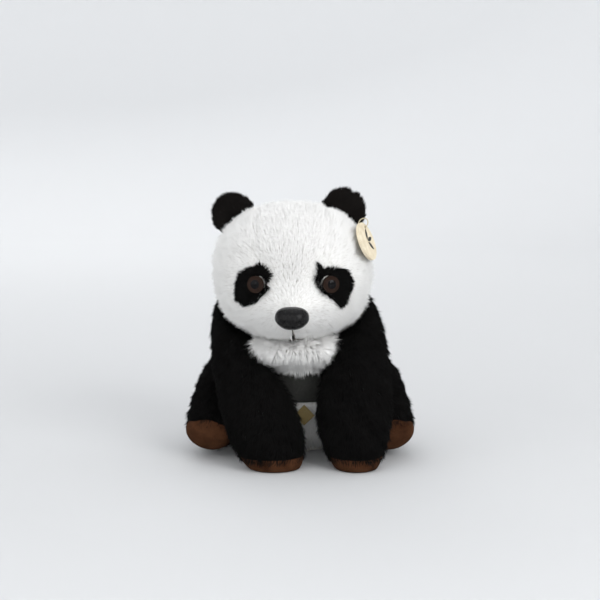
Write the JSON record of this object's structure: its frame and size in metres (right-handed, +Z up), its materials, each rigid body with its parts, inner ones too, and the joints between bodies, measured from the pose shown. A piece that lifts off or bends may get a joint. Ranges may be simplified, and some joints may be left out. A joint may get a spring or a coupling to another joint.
{
  "type": "plush panda",
  "caption": "Sitting plush panda with a white head, black ears and limbs, brown suede soles, moulded nose and a swinging wooden ear tag.",
  "frame": {"origin": "middle of the sitting panda's footprint, on the surface it sits on", "axes": "+Z up, -Y the way the panda faces, +X the panda's left"},
  "size_m": [0.1988, 0.2153, 0.2343],
  "materials": {
    "white_pile": "matte",
    "black_pile": "matte",
    "grey_tricot": "matte",
    "suede": "matte",
    "stuffing": "matte",
    "pellets": "matte",
    "white_thread": "matte",
    "dark_thread": "matte",
    "label_weave": "satin",
    "eye_brown": "gloss",
    "eye_gloss": "gloss",
    "washer_plastic": "matte",
    "nose_plastic": "satin",
    "tag_wood": "matte",
    "tag_ink": "matte",
    "tag_cord": "matte"
  },
  "bodies": {
    "torso": {"back_panel": "white_pile", "belly_panel": "white_pile", "shoulder_yoke": "black_pile", "chest_panel": "grey_tricot", "throat_bib": "white_pile", "seat_base": "white_pile", "torso_stuffing": "stuffing", "pellet_bag": "pellets", "closing_stitches": "white_thread"},
    "care_label": {"care_label": "label_weave"},
    "neck": {"neck_collar": "white_pile"},
    "head": {"crown_gusset": "white_pile", "chin_gusset": "white_pile", "face_left": "white_pile", "face_right": "white_pile", "head_stuffing": "stuffing", "eye_patch_left": "black_pile", "eye_patch_right": "black_pile", "eye_left": "eye_brown", "eye_right": "eye_brown", "eye_dome_left": "eye_gloss", "eye_dome_right": "eye_gloss", "eye_washer_left": "washer_plastic", "eye_washer_right": "washer_plastic", "nose": "nose_plastic", "nose_washer": "washer_plastic", "mouth_stitch": "dark_thread"},
    "ear_left": {"ear_front_left": "black_pile", "ear_back_left": "black_pile"},
    "ear_right": {"ear_front_right": "black_pile", "ear_back_right": "black_pile"},
    "tag": {"tag_disc": "tag_wood", "tag_print": "tag_ink", "tag_loop": "tag_cord"},
    "front_leg_left": {"front_leg_left": "black_pile", "front_sole_left": "suede", "front_stuffing_left": "stuffing"},
    "front_leg_right": {"front_leg_right": "black_pile", "front_sole_right": "suede", "front_stuffing_right": "stuffing"},
    "hind_leg_left": {"hind_leg_left": "black_pile", "hind_sole_left": "suede", "hind_stuffing_left": "stuffing"},
    "hind_leg_right": {"hind_leg_right": "black_pile", "hind_sole_right": "suede", "hind_stuffing_right": "stuffing"},
    "tail": {"tail": "white_pile"}
  },
  "joints": [
    {"name": "head_turn", "type": "hinge", "parent": "torso", "child": "neck", "pos_m": [-0.00553, -0.018, 0.10174], "axis": [0, 0, 1], "range_deg": [-8, 8], "stiffness_Nm_per_rad": 0.4},
    {"name": "head_nod", "type": "hinge", "parent": "neck", "child": "head", "pos_m": [-0.00553, -0.018, 0.10354], "axis": [1, 0, 0], "range_deg": [-4, 2], "stiffness_Nm_per_rad": 6},
    {"name": "ear_flop_left", "type": "hinge", "parent": "head", "child": "ear_left", "pos_m": [0.03657, -0.01531, 0.21356], "axis": [0.8387, 0, -0.5446], "range_deg": [-7, 7], "stiffness_Nm_per_rad": 0.03},
    {"name": "ear_flop_right", "type": "hinge", "parent": "head", "child": "ear_right", "pos_m": [-0.05594, -0.01631, 0.20948], "axis": [-0.7431, 0, -0.6691], "range_deg": [-7, 7], "stiffness_Nm_per_rad": 0.03},
    {"name": "tag_swing", "type": "hinge", "parent": "head", "child": "tag", "pos_m": [0.05279, -0.03592, 0.20892], "axis": [0.8691, -0.3396, 0.3596], "range_deg": [-15, 20]},
    {"name": "front_leg_swing_left", "type": "hinge", "parent": "torso", "child": "front_leg_left", "pos_m": [-0.00553, 0.002, 0.109], "axis": [-1, 0, 0], "range_deg": [0, 6], "stiffness_Nm_per_rad": 0.1},
    {"name": "front_leg_swing_right", "type": "hinge", "parent": "torso", "child": "front_leg_right", "pos_m": [-0.00553, 0.002, 0.109], "axis": [-1, 0, 0], "range_deg": [0, 6], "stiffness_Nm_per_rad": 0.1},
    {"name": "hind_leg_splay_left", "type": "hinge", "parent": "torso", "child": "hind_leg_left", "pos_m": [0.0601, 0.0368, 0.0412], "axis": [0, 0, 1], "range_deg": [0, 12], "stiffness_Nm_per_rad": 0.1},
    {"name": "hind_leg_splay_right", "type": "hinge", "parent": "torso", "child": "hind_leg_right", "pos_m": [-0.0601, 0.0368, 0.0412], "axis": [0, 0, -1], "range_deg": [0, 12], "stiffness_Nm_per_rad": 0.1},
    {"name": "tail_flop", "type": "hinge", "parent": "torso", "child": "tail", "pos_m": [0, 0.0815, 0.034], "axis": [1, 0, 0], "range_deg": [-12, 12], "stiffness_Nm_per_rad": 0.02},
    {"name": "label_flap", "type": "hinge", "parent": "torso", "child": "care_label", "pos_m": [0.00355, -0.03889, 0.04867], "axis": [-1, 0, 0], "range_deg": [0, 20]}
  ]
}
